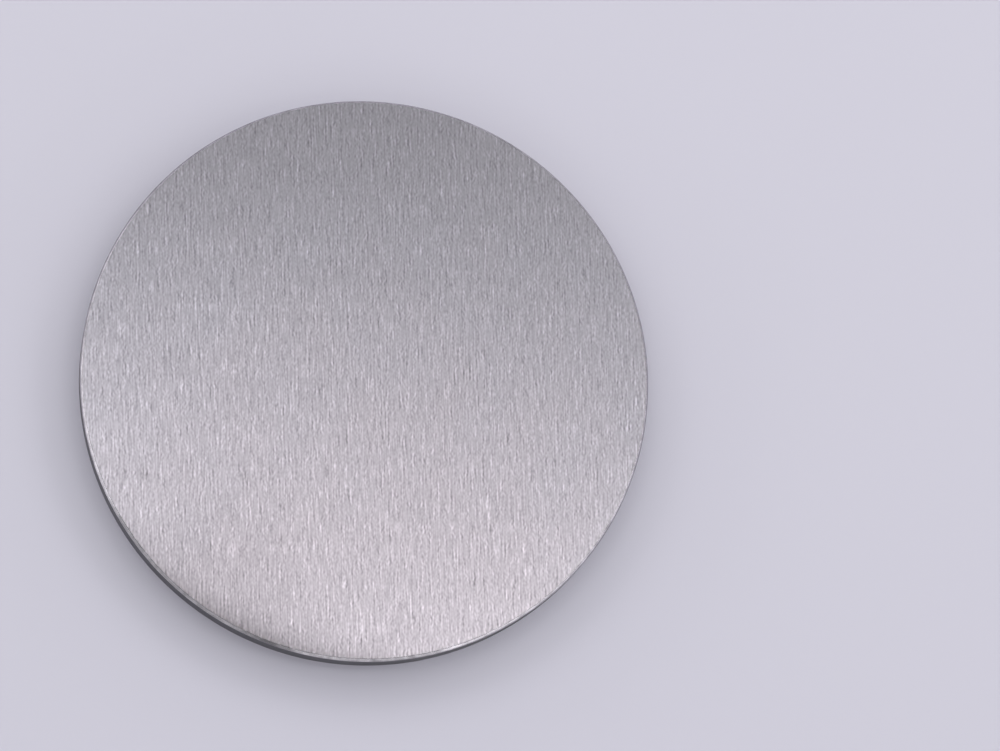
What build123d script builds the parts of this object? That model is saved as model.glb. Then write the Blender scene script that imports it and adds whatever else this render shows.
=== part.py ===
from build123d import *
import os

# A sputtering target: one solid round disc of metal, in millimetres.
# The origin is the centre of the back face, which rests on the cathode.
# +Z points out of the front face, the one that is sputtered away.
# Both faces are ground flat, with their grinding lines along Y.

DISC_DIAMETER = 50.8  # two inches, the seat of a small cathode
DISC_THICKNESS = 3.0  # from the back face to the front face
FRONT_EDGE_BREAK = 0.2  # each leg of the 45 degree chamfer round the front face
BACK_EDGE_BREAK = 0.2  # each leg of the 45 degree chamfer round the back face

os.makedirs("parts", exist_ok=True)

# The disc: a turned blank whose sharp edges are broken round both faces.
with BuildPart() as target_disc:
    with BuildSketch(Plane.XY):
        Circle(radius=DISC_DIAMETER / 2)
    extrude(amount=DISC_THICKNESS)
    front_face = target_disc.faces().sort_by(Axis.Z).last
    chamfer(front_face.edges(), length=FRONT_EDGE_BREAK)
    back_face = target_disc.faces().sort_by(Axis.Z).first
    chamfer(back_face.edges(), length=BACK_EDGE_BREAK)

target_disc.part.label = "target_disc"
export_step(target_disc.part, "parts/target_disc.step")
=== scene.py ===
import math

import bpy
from mathutils import Matrix, Vector, noise
from mathutils.geometry import delaunay_2d_cdt


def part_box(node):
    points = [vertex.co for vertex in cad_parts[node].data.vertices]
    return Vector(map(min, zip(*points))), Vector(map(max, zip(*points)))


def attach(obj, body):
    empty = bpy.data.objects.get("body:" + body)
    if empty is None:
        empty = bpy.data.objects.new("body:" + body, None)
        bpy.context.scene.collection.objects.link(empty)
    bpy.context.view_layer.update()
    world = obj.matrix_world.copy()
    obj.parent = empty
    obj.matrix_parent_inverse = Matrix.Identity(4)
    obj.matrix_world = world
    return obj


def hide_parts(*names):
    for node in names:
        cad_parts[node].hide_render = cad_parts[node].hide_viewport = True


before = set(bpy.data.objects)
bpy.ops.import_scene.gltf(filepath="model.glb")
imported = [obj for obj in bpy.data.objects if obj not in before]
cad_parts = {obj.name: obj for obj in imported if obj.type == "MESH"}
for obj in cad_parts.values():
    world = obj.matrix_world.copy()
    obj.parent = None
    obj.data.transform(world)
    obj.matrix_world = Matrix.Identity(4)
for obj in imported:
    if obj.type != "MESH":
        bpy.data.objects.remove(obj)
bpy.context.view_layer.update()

# A solid metal disc with ground faces, broken edges and a turned rim.
# Lengths are in metres, in the row's frame: the front's grinding lines run along Y.

NODE = "target_disc"
LOW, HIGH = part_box(NODE)
RADIUS = min(-LOW[0], -LOW[1], HIGH[0], HIGH[1])
BACK_Z = LOW[2]
FRONT_Z = HIGH[2]
MM = 0.001

# The edge break: its mean leg, and how the hand that broke it leant on one side.
EDGE_BREAK = 0.2 * MM
LEAN_SIDE = math.radians(240)
LEAN_SHARE = 0.28

# The leg also strays by small shares, in a few long waves and in many short ones,
# and not in the same way at the front and at the back.
LEG_WANDER = 0.06
WANDER_RATE = 4
LEG_RAGGED = 0.10
RAGGED_RATE = 25
FRONT_SEED = 0.0
BACK_SEED = 5.0

# The corners of the edge break are slightly round. The flat face starts beside them.
CORNER_RADIUS = 0.03 * MM
CORNER_STEPS = 3
FACE_MARGIN = 0.03 * MM

# Grinding left both faces a little low, in broad waves that fade towards the edge.
FACE_WAVE_DEPTH = 0.006 * MM
FACE_WAVE_LENGTH = 9.0 * MM
WAVE_FADE_POWER = 8

# The front face also rolls off close to its edge, on the side that was leant on.
ROLL_DEPTH = 0.13 * MM
ROLL_POWER = 13
ROLL_SIDE_POWER = 4

# The rim: the fine ridges that the turning tool left.
RIDGE_PITCH = 0.13 * MM
RIDGE_DEPTH = 0.0025 * MM
ROWS_PER_RIDGE = 4

# The mesh: the segments round the disc, the rows down the rim, the rings of points on
# the faces, and the four regions that have a material each.
SEGMENTS = 540
WALL_ROWS = round((FRONT_Z - BACK_Z - 2 * EDGE_BREAK) / RIDGE_PITCH) * ROWS_PER_RIDGE
FACE_RINGS = 42
POINTS_PER_RING = 6
FRONT, EDGE, RIM, BACK = range(4)

# A face's triangles lie inside its border, and points as close as this become one.
KEEP_INSIDE = 1
MERGE_REACH = 1e-9

# Noise lies round its middle and seldom leaves this range.
NOISE_LOW = 0.3
NOISE_MIDDLE = 0.5
NOISE_HIGH = 0.7

# The grinding grooves are ticks, strokes and long passes. Each kind has a width, a
# length, a share, and a turn in degrees. Their pattern doesn't change with depth.
THROUGH = 1.0
TICK_SIZE = (0.17 * MM, 0.30 * MM, THROUGH)
TICK_SHARE = 0.36
TICK_TURN = 0.6
STROKE_SIZE = (0.16 * MM, 1.0 * MM, THROUGH)
STROKE_SHARE = 0.34
PASS_SIZE = (0.17 * MM, 3.4 * MM, THROUGH)
PASS_SHARE = 0.32
PASS_TURN = -0.3

# A groove has a bright flank and, one step across from it, a weaker dark one.
FLANK_STEP = 0.16 * MM
FLANK_SHARE = 0.3

# The wheel bit deeper in some places, and left some brighter scratches.
BITE_SIZE = (0.35 * MM, 1.6 * MM, THROUGH)
BITE_LEAST = 0.5
BITE_MOST = 1.5
SCRATCH_SIZE = (0.14 * MM, 1.8 * MM, THROUGH)
SCRATCH_TURN = 0.2
SCRATCH_START = 0.62
SCRATCH_FULL = 0.80
SCRATCH_HEIGHT = 0.16

# What the grooves do: they change the colour, on a screen's curve, and the roughness,
# each up to its own groove value, and they stand up as a fine relief.
GAIN_REACH = 0.5
GROOVE_CONTRAST = 0.33
SCREEN_CURVE = 2.2
ROUGHNESS_REACH = 0.25
DARK_ROUGHNESS = 0.33
BRIGHT_ROUGHNESS = 0.29
GROOVE_RELIEF = 0.004 * MM

# The shine of the metal: how far it spreads across the lines, and what is left of it
# at a grazing angle.
FACE_SPREAD = 0.9
FACE_GRAZING = 0.62
RIM_SPREAD = 0.3
RIM_GRAZING = 0.6

# The faces are warmer towards one place, and darker round a place at the edge: painted
# shade on the side that rolls off.
PATCH_SIZE = (5.0 * MM, 8.0 * MM, THROUGH)
WARM_PLACE = (0.0, -30.0 * MM, FRONT_Z)
WARM_NEAR = 12 * MM
WARM_FAR = 50 * MM
WARM_MOST = 1.2
WARM_LEAST = -0.2
WARM_WANDER = 0.3
# Painted shade near the edge on the leant side, where the rolled-off face turns towards
# darker light.
PAINTED_SHADE_PLACE = (-15.0 * MM, -21.5 * MM, FRONT_Z)
PAINTED_SHADE_REACH = 12.0 * MM
PAINTED_SHADE_WANDER = 6.0 * MM
PAINTED_SHADE_DEPTH = 0.84

# The edge break and the rim have fine lines round the disc, mixed with patches. These
# marks take the metal from dark and rough to light and smooth.
MARKS_LOW = 0.35
MARKS_HIGH = 0.65
EDGE_LINE_SIZE = (1.5 * MM, 1.5 * MM, 0.04 * MM)
EDGE_PATCH_SIZE = (0.7 * MM, 0.7 * MM, 0.7 * MM)
EDGE_PATCH_SHARE = 0.6
EDGE_DARK = 0.68
EDGE_LIGHT = 1.20
EDGE_ROUGH = 0.24
EDGE_SMOOTH = 0.17
EDGE_RELIEF = 0.002 * MM
RIM_LINE_SIZE = (6.0 * MM, 6.0 * MM, 0.05 * MM)
RIM_PATCH_SIZE = (3.0 * MM, 3.0 * MM, 1.2 * MM)
RIM_PATCH_SHARE = 0.4
RIM_DARK = 0.8
RIM_LIGHT = 1.25
RIM_ROUGH = 0.36
RIM_SMOOTH = 0.28
RIM_RELIEF = 0.003 * MM

# Linear colours.
COOL_COLOR = (0.417, 0.402, 0.449)
WARM_COLOR = (0.435, 0.401, 0.439)
EDGE_COLOR = (0.360, 0.344, 0.374)
# The rim's colour is set well below the faces' metal as painted shade: the dark of the
# floor's shadow that the rim reflects.
RIM_SHADED_COLOR = (0.230, 0.225, 0.240)
FLOOR_COLOR = (0.665, 0.650, 0.745)

# The stage: a wide floor with a faint mottle, two strips of ceiling light, a dim room.
FLOOR_HALF_WIDTH = 4.0
FLOOR_MOTTLE = 0.01
MOTTLE_SIZE = 60 * MM
FLOOR_ROUGHNESS = 0.6
FLOOR_SPECULAR = 0.2
CEILING_HEIGHT = 0.8
CEILING_WIDTH = 0.6
CEILING_DEPTH = 0.08
ROOM_STRENGTH = 0.16

# The photograph's camera: the face's tilt to the right and up in the picture, the
# face's centre in the 1000 by 751 picture, and the lens in pixels.
PICTURE_WIDTH, PICTURE_HEIGHT = 1000, 751
LENS_PIXELS = 5000
FACE_CENTRE_PIXEL = (366.1, 378.2)
RADIUS_PIXELS = 285.3
TILT_RIGHT = 0.1168
TILT_UP = 0.1866
SENSOR_WIDTH = 36.0


def rounded_corner(before, corner, after):
    """The points of the small arc that softens a corner of the profile."""
    inward = (before - corner).normalized()
    outward = (after - corner).normalized()
    half_angle = inward.angle(outward) / 2
    reach = CORNER_RADIUS / math.tan(half_angle)
    middle = (inward + outward).normalized()
    centre = corner + middle * (CORNER_RADIUS / math.sin(half_angle))
    first = corner + inward * reach - centre
    last = corner + outward * reach - centre
    arc = []
    for step in range(CORNER_STEPS + 1):
        spoke = first.lerp(last, step / CORNER_STEPS).normalized()
        arc.append(centre + spoke * CORNER_RADIUS)
    return arc


def break_leg(angle, seed):
    """The leg of the edge break at one angle round the disc."""
    lean = LEAN_SHARE * math.cos(angle - LEAN_SIDE)
    around = Vector((math.cos(angle), math.sin(angle), seed))
    wander = LEG_WANDER * noise.noise(around * WANDER_RATE)
    wander += LEG_RAGGED * noise.noise(around * RAGGED_RATE)
    return EDGE_BREAK * (1 + lean + wander)


def roll_off(angle, radius):
    """How far the front face falls away at a place near its edge."""
    lean = max(0, math.cos(angle - LEAN_SIDE)) ** ROLL_SIDE_POWER
    return ROLL_DEPTH * lean * (radius / RADIUS) ** ROLL_POWER


def side_profile(angle):
    """(radius, height) points from the front face, down the rim, to the back face."""
    front_leg = break_leg(angle, FRONT_SEED)
    back_leg = break_leg(angle, BACK_SEED)
    inner_radius = RADIUS - front_leg
    start_radius = inner_radius - FACE_MARGIN
    shoulder = FRONT_Z - roll_off(angle, inner_radius)
    face_start = Vector((start_radius, FRONT_Z - roll_off(angle, start_radius)))
    front_inner = Vector((inner_radius, shoulder))
    front_outer = Vector((RADIUS, shoulder - front_leg))
    back_outer = Vector((RADIUS, BACK_Z + back_leg))
    back_inner = Vector((RADIUS - back_leg, BACK_Z))
    face_end = Vector((RADIUS - back_leg - FACE_MARGIN, BACK_Z))
    upper = [face_start]
    upper += rounded_corner(face_start, front_inner, front_outer)
    upper += rounded_corner(front_inner, front_outer, back_outer)
    lower = rounded_corner(front_outer, back_outer, back_inner)
    lower += rounded_corner(back_outer, back_inner, face_end)
    lower.append(face_end)
    wall = []
    for row in range(1, WALL_ROWS):
        point = upper[-1].lerp(lower[0], row / WALL_ROWS)
        phase = 2 * math.pi * row / ROWS_PER_RIDGE
        groove = RIDGE_DEPTH * (1 - math.cos(phase)) / 2
        wall.append(Vector((RADIUS - groove, point.y)))
    return upper + wall + lower


def add_side(vertices, faces, regions):
    """Adds the skin from the front face, down the rim, to the back face."""
    columns = []
    for segment in range(SEGMENTS):
        angle = 2 * math.pi * segment / SEGMENTS
        x, y = math.cos(angle), math.sin(angle)
        column = []
        for radius, height in side_profile(angle):
            column.append(len(vertices))
            vertices.append((radius * x, radius * y, height))
        columns.append(column)
    last_row = len(columns[0]) - 1
    # An edge break has two round corners, the flat between them and the face's margin.
    edge_rows = 2 * CORNER_STEPS + 2
    for here, there in zip(columns, columns[1:] + columns[:1]):
        for row in range(last_row):
            faces.append((here[row], here[row + 1], there[row + 1], there[row]))
            on_edge = row < edge_rows or row >= last_row - edge_rows
            regions.append(EDGE if on_edge else RIM)
    return columns


def face_inner_points(edge_radius):
    """Even points inside a face, as rings with more points further out."""
    points = [Vector((0, 0))]
    for ring in range(1, FACE_RINGS):
        radius = edge_radius * ring / FACE_RINGS
        count = POINTS_PER_RING * ring
        for place in range(count):
            angle = 2 * math.pi * (place + ring / 2) / count
            points.append(Vector((math.cos(angle), math.sin(angle))) * radius)
    return points


def wave_depth(point, seed):
    """How far grinding left the face below its true plane."""
    place = Vector((point.x, point.y, 0)) / FACE_WAVE_LENGTH
    place.z = seed
    fade = 1 - min(1, point.length / RADIUS) ** WAVE_FADE_POWER
    return FACE_WAVE_DEPTH * fade * (1 + noise.noise(place)) / 2


def add_face(vertices, faces, regions, ring, region):
    """Adds the front or the back face inside a ring of the skin's vertices."""
    is_front = region == FRONT
    ring_points = [Vector(vertices[index][:2]) for index in ring]
    inner_points = face_inner_points(ring_points[0].length)
    indices = list(ring)
    for point in inner_points:
        depth = wave_depth(point, region)
        if is_front:
            depth += roll_off(math.atan2(point.y, point.x), point.length)
        height = FRONT_Z - depth if is_front else BACK_Z + depth
        indices.append(len(vertices))
        vertices.append((point.x, point.y, height))
    points = ring_points + inner_points
    border = [(index, (index + 1) % SEGMENTS) for index in range(SEGMENTS)]
    flat = delaunay_2d_cdt(points, border, [], KEEP_INSIDE, MERGE_REACH)
    triangles, sources = flat[2:4]
    for triangle in triangles:
        corners = [indices[sources[corner][0]] for corner in triangle]
        faces.append(corners if is_front else corners[::-1])
        regions.append(region)


def disc_mesh():
    """The disc's closed skin, with a material index for each of its four regions."""
    vertices = []
    faces = []
    regions = []
    columns = add_side(vertices, faces, regions)
    add_face(vertices, faces, regions, [column[0] for column in columns], FRONT)
    add_face(vertices, faces, regions, [column[-1] for column in columns], BACK)
    mesh = bpy.data.meshes.new("ground_disc")
    mesh.from_pydata(vertices, [], faces)
    mesh.polygons.foreach_set("material_index", regions)
    mesh.polygons.foreach_set("use_smooth", [True] * len(faces))
    mesh.update()
    return mesh


def add_grain_map(mesh):
    """A UV map in millimetres, with U across the machining lines and V along them."""
    layer = mesh.uv_layers.new(name="grain")
    for polygon in mesh.polygons:
        region = polygon.material_index
        start = None
        for loop in polygon.loop_indices:
            place = mesh.vertices[mesh.loops[loop].vertex_index].co
            if region == FRONT:
                layer.data[loop].uv = (place.x / MM, place.y / MM)
                continue
            if region == BACK:
                layer.data[loop].uv = (place.y / MM, place.x / MM)
                continue
            angle = math.atan2(place.y, place.x)
            if start is None:
                start = angle
            # A polygon that crosses the seam keeps its corners side by side.
            if angle - start > math.pi:
                angle -= 2 * math.pi
            elif start - angle > math.pi:
                angle += 2 * math.pi
            across = place.z - math.hypot(place.x, place.y)
            layer.data[loop].uv = (across / MM, angle * RADIUS / MM)


def scaled_color(color, amount):
    """A colour times one amount."""
    return tuple(channel * amount for channel in color)


class Nodes:
    """Short ways to add and join a material's nodes."""

    def __init__(self, name):
        self.material = bpy.data.materials.new(name)
        self.material.use_nodes = True
        self.tree = self.material.node_tree
        self.shader = self.tree.nodes["Principled BSDF"]

    def add(self, kind, **settings):
        """A new node with some of its settings."""
        node = self.tree.nodes.new(kind)
        for key, value in settings.items():
            setattr(node, key, value)
        return node

    def join(self, output, socket):
        """A link from an output to a socket."""
        self.tree.links.new(output, socket)

    def noise(self, size, detail=1.0, roughness=0.5, turn=0.0, shift=0.0):
        """Noise whose grains have the given length along each axis."""
        coordinates = self.add("ShaderNodeTexCoord")
        turned = self.add("ShaderNodeMapping")
        turned.inputs["Rotation"].default_value[2] = math.radians(turn)
        scaled = self.add("ShaderNodeMapping")
        scaled.inputs["Scale"].default_value = [1 / length for length in size]
        scaled.inputs["Location"].default_value[0] = shift / size[0]
        texture = self.add("ShaderNodeTexNoise")
        texture.inputs["Scale"].default_value = 1.0
        texture.inputs["Detail"].default_value = detail
        texture.inputs["Roughness"].default_value = roughness
        self.join(coordinates.outputs["Object"], turned.inputs["Vector"])
        self.join(turned.outputs["Vector"], scaled.inputs["Vector"])
        self.join(scaled.outputs["Vector"], texture.inputs["Vector"])
        return texture.outputs["Fac"]

    def math(self, operation, first, second):
        """One arithmetic step on outputs or plain numbers."""
        node = self.add("ShaderNodeMath", operation=operation)
        for socket, value in zip(node.inputs, (first, second)):
            if isinstance(value, (int, float)):
                socket.default_value = value
            else:
                self.join(value, socket)
        return node.outputs[0]

    def part(self, value, share):
        """A share of a value."""
        return self.math("MULTIPLY", value, share)

    def blend(self, first, second, share):
        """A mean of two values, with the second one's share."""
        return self.math("ADD", self.part(first, 1 - share), self.part(second, share))

    def grooves(self, size, turn):
        """Short straight grooves, each with a bright flank beside a dark one."""
        bright = self.noise(size, detail=0.0, turn=turn)
        dark = self.noise(size, detail=0.0, turn=turn, shift=FLANK_STEP)
        return self.math("SUBTRACT", bright, self.part(dark, FLANK_SHARE))

    def distance(self, centre):
        """The distance from a point of the disc."""
        coordinates = self.add("ShaderNodeTexCoord")
        node = self.add("ShaderNodeVectorMath", operation="DISTANCE")
        node.inputs[1].default_value = centre
        self.join(coordinates.outputs["Object"], node.inputs[0])
        return node.outputs["Value"]

    def spread(self, value, low, high, out_low, out_high):
        """Maps a range of a value to another range, held at its ends."""
        node = self.add("ShaderNodeMapRange", clamp=True)
        node.inputs["From Min"].default_value = low
        node.inputs["From Max"].default_value = high
        node.inputs["To Min"].default_value = out_low
        node.inputs["To Max"].default_value = out_high
        self.join(value, node.inputs["Value"])
        return node.outputs["Result"]

    def tint(self, share, first, second):
        """A colour between two, by a share from 0 to 1."""
        node = self.add("ShaderNodeMix", data_type="RGBA")
        node.inputs["A"].default_value = (*first, 1)
        node.inputs["B"].default_value = (*second, 1)
        self.join(share, node.inputs["Factor"])
        return node.outputs["Result"]

    def shade(self, color, amount):
        """A colour times a plain amount."""
        node = self.add("ShaderNodeVectorMath", operation="SCALE")
        self.join(color, node.inputs[0])
        self.join(amount, node.inputs["Scale"])
        return node.outputs["Vector"]

    def metal(self, color, roughness, spread, grazing=1.0):
        """Sets the shader up as metal whose shine spreads across the lines."""
        tangent = self.add("ShaderNodeTangent", direction_type="UV_MAP", uv_map="grain")
        self.join(tangent.outputs["Tangent"], self.shader.inputs["Tangent"])
        self.shader.inputs["Metallic"].default_value = 1.0
        self.shader.inputs["Anisotropic"].default_value = spread
        self.shader.inputs["Specular Tint"].default_value = (grazing, grazing, grazing, 1)
        self.join(color, self.shader.inputs["Base Color"])
        self.join(roughness, self.shader.inputs["Roughness"])

    def marked_color(self, marks, color, dark, light):
        """A colour times an amount that the marks set, from dark to light."""
        share = self.spread(marks, MARKS_LOW, MARKS_HIGH, 0.0, 1.0)
        return self.tint(share, scaled_color(color, dark), scaled_color(color, light))

    def relief(self, height, depth):
        """Bump of the given depth in metres."""
        bump = self.add("ShaderNodeBump")
        bump.inputs["Strength"].default_value = 1.0
        bump.inputs["Distance"].default_value = depth
        self.join(height, bump.inputs["Height"])
        self.join(bump.outputs["Normal"], self.shader.inputs["Normal"])


def groove_lines(nodes, turn):
    """The grinding lines of a face: below 0 where they are dark, above where bright."""
    ticks = nodes.part(nodes.grooves(TICK_SIZE, turn + TICK_TURN), TICK_SHARE)
    strokes = nodes.part(nodes.grooves(STROKE_SIZE, turn), STROKE_SHARE)
    passes = nodes.part(nodes.grooves(PASS_SIZE, turn + PASS_TURN), PASS_SHARE)
    lines = nodes.math("ADD", nodes.math("ADD", ticks, strokes), passes)
    lines = nodes.math("SUBTRACT", lines, NOISE_MIDDLE * (1 - FLANK_SHARE))
    bite = nodes.noise(BITE_SIZE, detail=0.0, turn=turn)
    bite = nodes.spread(bite, NOISE_LOW, NOISE_HIGH, BITE_LEAST, BITE_MOST)
    lines = nodes.math("MULTIPLY", lines, bite)
    scratches = nodes.noise(SCRATCH_SIZE, detail=0.0, turn=turn + SCRATCH_TURN)
    scratches = nodes.spread(scratches, SCRATCH_START, SCRATCH_FULL, 0.0, SCRATCH_HEIGHT)
    return nodes.math("ADD", lines, scratches)


def face_tint(nodes):
    """A face's colour between the grooves: cool to warm, and darker round one place at
    the edge as painted shade.
    """
    patches = nodes.noise(PATCH_SIZE, detail=2.0)
    warmth = nodes.distance(WARM_PLACE)
    warmth = nodes.spread(warmth, WARM_NEAR, WARM_FAR, WARM_MOST, WARM_LEAST)
    wander = nodes.spread(patches, 0.0, 1.0, -WARM_WANDER, WARM_WANDER)
    warmth = nodes.math("ADD", warmth, wander)
    tint = nodes.tint(nodes.spread(warmth, 0.0, 1.0, 0.0, 1.0), COOL_COLOR, WARM_COLOR)
    # Painted shade: the colour darkens round a place at the edge, where the rolled-off
    # face turns towards darker light.
    wander = nodes.spread(patches, 0.0, 1.0, -PAINTED_SHADE_WANDER, PAINTED_SHADE_WANDER)
    painted_shade = nodes.math("ADD", nodes.distance(PAINTED_SHADE_PLACE), wander)
    return nodes.shade(tint, nodes.spread(painted_shade, 0.0, PAINTED_SHADE_REACH, PAINTED_SHADE_DEPTH, 1.0))


def ground_material(name, turn):
    """A face ground in one direction, with deeper and shallower patches of grooves."""
    nodes = Nodes(name)
    lines = groove_lines(nodes, turn)
    least, most = 1 - GROOVE_CONTRAST, 1 + GROOVE_CONTRAST
    gain = nodes.spread(lines, -GAIN_REACH, GAIN_REACH, least, most)
    gain = nodes.math("POWER", gain, SCREEN_CURVE)
    color = nodes.shade(face_tint(nodes), gain)
    low, high = -ROUGHNESS_REACH, ROUGHNESS_REACH
    roughness = nodes.spread(lines, low, high, DARK_ROUGHNESS, BRIGHT_ROUGHNESS)
    nodes.metal(color, roughness, FACE_SPREAD, FACE_GRAZING)
    nodes.relief(lines, GROOVE_RELIEF)
    return nodes.material


def edge_material():
    """The edge break: smoother and a little darker than the faces, and patchy."""
    nodes = Nodes("broken_edge")
    lines = nodes.noise(EDGE_LINE_SIZE, detail=2.0)
    patches = nodes.noise(EDGE_PATCH_SIZE, detail=3.0)
    marks = nodes.blend(lines, patches, EDGE_PATCH_SHARE)
    color = nodes.marked_color(marks, EDGE_COLOR, EDGE_DARK, EDGE_LIGHT)
    roughness = nodes.spread(marks, MARKS_LOW, MARKS_HIGH, EDGE_ROUGH, EDGE_SMOOTH)
    nodes.metal(color, roughness, spread=0.0)
    nodes.relief(marks, EDGE_RELIEF)
    return nodes.material


def rim_material():
    """The turned rim: metal darkened with painted shade, with fine lines round it and
    faint patches.
    """
    nodes = Nodes("turned_rim")
    lines = nodes.noise(RIM_LINE_SIZE, detail=3.0)
    patches = nodes.noise(RIM_PATCH_SIZE, detail=4.0, roughness=0.6)
    marks = nodes.blend(lines, patches, RIM_PATCH_SHARE)
    color = nodes.marked_color(marks, RIM_SHADED_COLOR, RIM_DARK, RIM_LIGHT)
    roughness = nodes.spread(marks, MARKS_LOW, MARKS_HIGH, RIM_ROUGH, RIM_SMOOTH)
    nodes.metal(color, roughness, RIM_SPREAD, RIM_GRAZING)
    nodes.relief(lines, RIM_RELIEF)
    return nodes.material


def build_disc():
    """The disc, in place of the plain solid."""
    mesh = disc_mesh()
    add_grain_map(mesh)
    for material in (
        ground_material("ground_front", turn=0.0),
        edge_material(),
        rim_material(),
        ground_material("ground_back", turn=90.0),
    ):
        mesh.materials.append(material)
    disc = bpy.data.objects.new("ground_disc", mesh)
    bpy.context.scene.collection.objects.link(disc)
    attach(disc, "root")
    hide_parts(NODE)


def build_floor():
    """A plain pale floor under the disc."""
    low, high = -FLOOR_HALF_WIDTH, FLOOR_HALF_WIDTH
    corners = [(low, low), (high, low), (high, high), (low, high)]
    mesh = bpy.data.meshes.new("floor")
    mesh.from_pydata([(x, y, BACK_Z) for x, y in corners], [], [(0, 1, 2, 3)])
    floor = bpy.data.objects.new("floor", mesh)
    nodes = Nodes("pale_floor")
    mottle = nodes.noise((MOTTLE_SIZE, MOTTLE_SIZE, MOTTLE_SIZE), detail=3.0)
    dark = scaled_color(FLOOR_COLOR, 1 - FLOOR_MOTTLE)
    light = scaled_color(FLOOR_COLOR, 1 + FLOOR_MOTTLE)
    nodes.join(nodes.tint(mottle, dark, light), nodes.shader.inputs["Base Color"])
    nodes.shader.inputs["Roughness"].default_value = FLOOR_ROUGHNESS
    nodes.shader.inputs["Specular IOR Level"].default_value = FLOOR_SPECULAR
    mesh.materials.append(nodes.material)
    bpy.context.scene.collection.objects.link(floor)


def soft_panel(name, centre, width, depth, glow, target=(0, 0, 0)):
    """A soft lamp facing a target; its glow is its brightness, with white at 1."""
    lamp = bpy.data.lights.new(name, "AREA")
    lamp.shape = "RECTANGLE"
    lamp.size = width
    lamp.size_y = depth
    lamp.energy = glow * math.pi * width * depth
    panel = bpy.data.objects.new(name, lamp)
    facing = Vector(target) - Vector(centre)
    panel.rotation_euler = facing.to_track_quat("-Z", "Y").to_euler()
    panel.location = centre
    bpy.context.scene.collection.objects.link(panel)


def lamp_ring(height, reach, width, depth, glows):
    """Soft lamps in a ring round the disc, one for each compass direction given."""
    for azimuth, glow in glows.items():
        x = reach * math.cos(math.radians(azimuth))
        y = reach * math.sin(math.radians(azimuth))
        soft_panel(f"ring_{height}_{azimuth}", (x, y, height), width, depth, glow)


def ceiling_strip(side, x, y, glow):
    """A narrow lamp that looks straight down."""
    centre = (x, y, CEILING_HEIGHT)
    soft_panel("ceiling_" + side, centre, CEILING_WIDTH, CEILING_DEPTH, glow, (x, y, 0))


def build_light():
    """Rings of soft lamps, brighter behind than in front, two strips and a dim room."""
    low = {0: 2.2, 45: 2.1, 90: 2.1, 135: 2.1, 180: 2.0, 225: 0.8, 276: 1.1, 315: 1.9}
    high = {0: 1.8, 45: 2.6, 90: 2.4, 135: 2.2, 180: 0.6, 225: 0.7, 270: 0.9, 315: 0.7}
    steep = {45: 0.6, 90: 0.6, 135: 0.6, 225: 0.4, 270: 0.4, 315: 0.4}
    lamp_ring(height=0.16, reach=1.0, width=0.8, depth=0.30, glows=low)
    lamp_ring(height=0.55, reach=0.9, width=0.7, depth=0.35, glows=high)
    lamp_ring(height=0.80, reach=0.5, width=0.5, depth=0.30, glows=steep)
    ceiling_strip("left", x=-0.25, y=0.14, glow=2.5)
    ceiling_strip("right", x=0.35, y=0.06, glow=3.7)
    world = bpy.data.worlds.new("room")
    world.use_nodes = True
    background = world.node_tree.nodes["Background"]
    background.inputs["Color"].default_value = (1.0, 1.0, 1.0, 1)
    background.inputs["Strength"].default_value = ROOM_STRENGTH
    bpy.context.scene.world = world


def build_camera():
    """The camera that sees the face's centre, tilt and size as the photograph does."""
    normal = Vector((TILT_RIGHT, TILT_UP, math.sqrt(1 - TILT_RIGHT**2 - TILT_UP**2)))
    grain = (Vector((0, 1, 0)) - normal * normal.y).normalized()
    across = grain.cross(normal)
    camera_to_row = Matrix((across, grain, normal))
    distance = RADIUS * LENS_PIXELS / RADIUS_PIXELS
    right = (FACE_CENTRE_PIXEL[0] - PICTURE_WIDTH / 2) / LENS_PIXELS * distance
    up = (PICTURE_HEIGHT / 2 - FACE_CENTRE_PIXEL[1]) / LENS_PIXELS * distance
    face_centre = Vector((0, 0, FRONT_Z))
    data = bpy.data.cameras.new("camera")
    data.sensor_fit = "HORIZONTAL"
    data.sensor_width = SENSOR_WIDTH
    data.lens = LENS_PIXELS / PICTURE_WIDTH * SENSOR_WIDTH
    camera = bpy.data.objects.new("camera", data)
    place = face_centre - camera_to_row @ Vector((right, up, -distance))
    camera.matrix_world = Matrix.Translation(place) @ camera_to_row.to_4x4()
    bpy.context.scene.collection.objects.link(camera)
    bpy.context.scene.camera = camera


bpy.context.scene.view_settings.view_transform = "Standard"
build_camera()
build_disc()
build_floor()
build_light()
